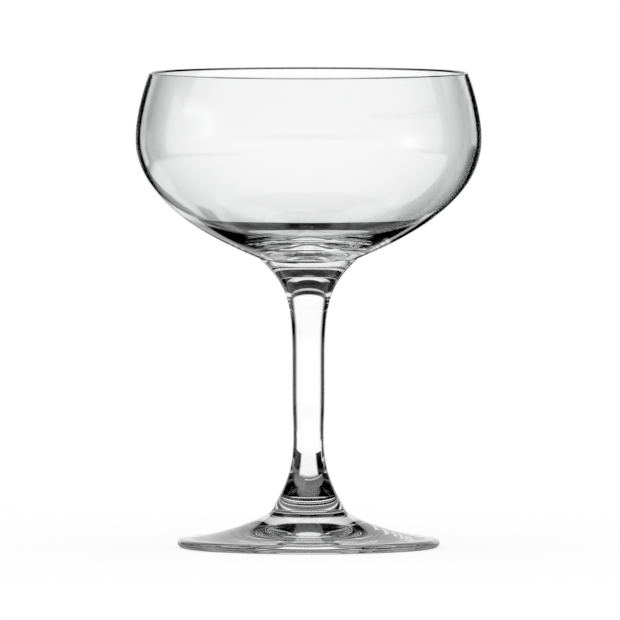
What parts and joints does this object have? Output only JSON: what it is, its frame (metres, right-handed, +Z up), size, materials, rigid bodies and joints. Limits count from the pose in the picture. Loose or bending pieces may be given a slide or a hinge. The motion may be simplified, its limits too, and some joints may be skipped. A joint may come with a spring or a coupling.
{
  "type": "coupe glass",
  "caption": "Clear coupe glass: a wide shallow bowl on a drawn stem and a round foot, for drinks served without ice.",
  "frame": {"origin": "on the table under the foot, on the axis of the glass", "axes": "+Z up along the axis of the glass, from the foot to the mouth"},
  "size_m": [0.1, 0.1, 0.1372],
  "materials": {
    "bowl_glass": "clear, blown, fire-polished rim",
    "stem_glass": "clear, drawn, fire-polished",
    "foot_glass": "clear, spun, fire-polished edge"
  },
  "bodies": {
    "root": {"bowl": "bowl_glass", "stem": "stem_glass", "foot": "foot_glass"}
  },
  "joints": []
}
